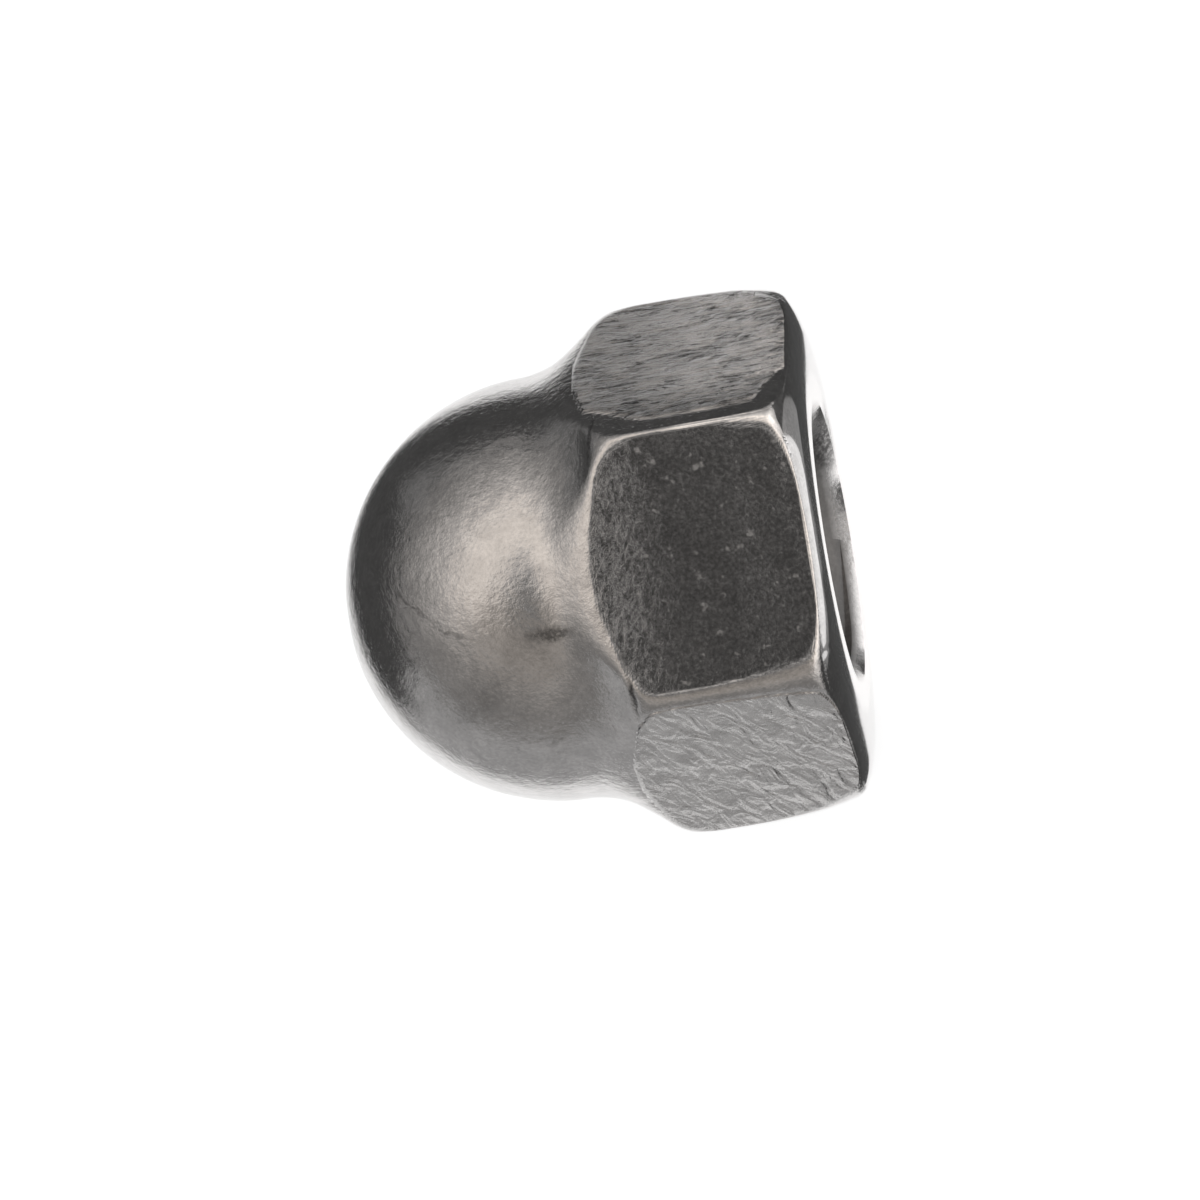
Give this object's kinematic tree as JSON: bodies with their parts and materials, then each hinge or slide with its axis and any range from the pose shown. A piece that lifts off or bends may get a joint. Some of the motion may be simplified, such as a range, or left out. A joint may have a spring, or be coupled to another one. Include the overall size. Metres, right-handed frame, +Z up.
{
  "type": "cap nut",
  "caption": "Low-crown hexagon cap nut in stainless steel: a blind threaded hole closed by a round dome, with chamfered bearing end.",
  "frame": {"origin": "middle of the nut's length and width, on the flat that it lies on", "axes": "+X along the thread axis and out of the mouth, with the dome towards -X; +Z up, out of the uppermost flat"},
  "size_m": [0.012, 0.0128, 0.0111],
  "materials": {
    "stainless_steel": "satin, tumbled, with drawn grain on the flats"
  },
  "bodies": {
    "root": {"cap_nut": "stainless_steel"}
  },
  "joints": []
}
